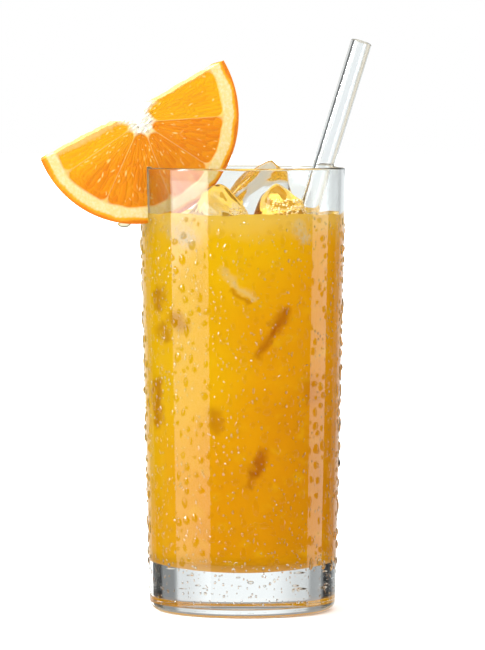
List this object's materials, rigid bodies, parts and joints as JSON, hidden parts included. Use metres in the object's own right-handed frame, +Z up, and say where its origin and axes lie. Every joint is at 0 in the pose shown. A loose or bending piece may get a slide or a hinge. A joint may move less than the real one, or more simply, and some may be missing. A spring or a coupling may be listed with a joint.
{
  "type": "glass of orange juice",
  "caption": "Tall straight-sided tumbler filled with orange juice, with ice blocks, a clear glass straw and a slit orange slice hung on the rim.",
  "frame": {"origin": "centre of the tumbler's flat underside, on its axis", "axes": "+Z up along the tumbler's axis; +X to the right, the side the straw leans to; -Y to the front, which shows the slice's cut face"},
  "size_m": [0.1049, 0.065, 0.1801],
  "materials": {
    "clear_glass": "polished clear soda-lime glass, wet outside with fine condensation",
    "orange_juice": "opaque golden-orange juice with a wet surface",
    "straw_glass": "polished clear borosilicate tube",
    "orange_fruit": "moist orange pulp, cream pith and dimpled zest",
    "clear_ice": "clear melting ice, smooth and wet"
  },
  "bodies": {
    "root": {"glass": "clear_glass", "juice": "orange_juice", "straw": "straw_glass", "orange_slice": "orange_fruit", "ice_left": "clear_ice", "ice_back": "clear_ice", "ice_right": "clear_ice"}
  },
  "joints": []
}
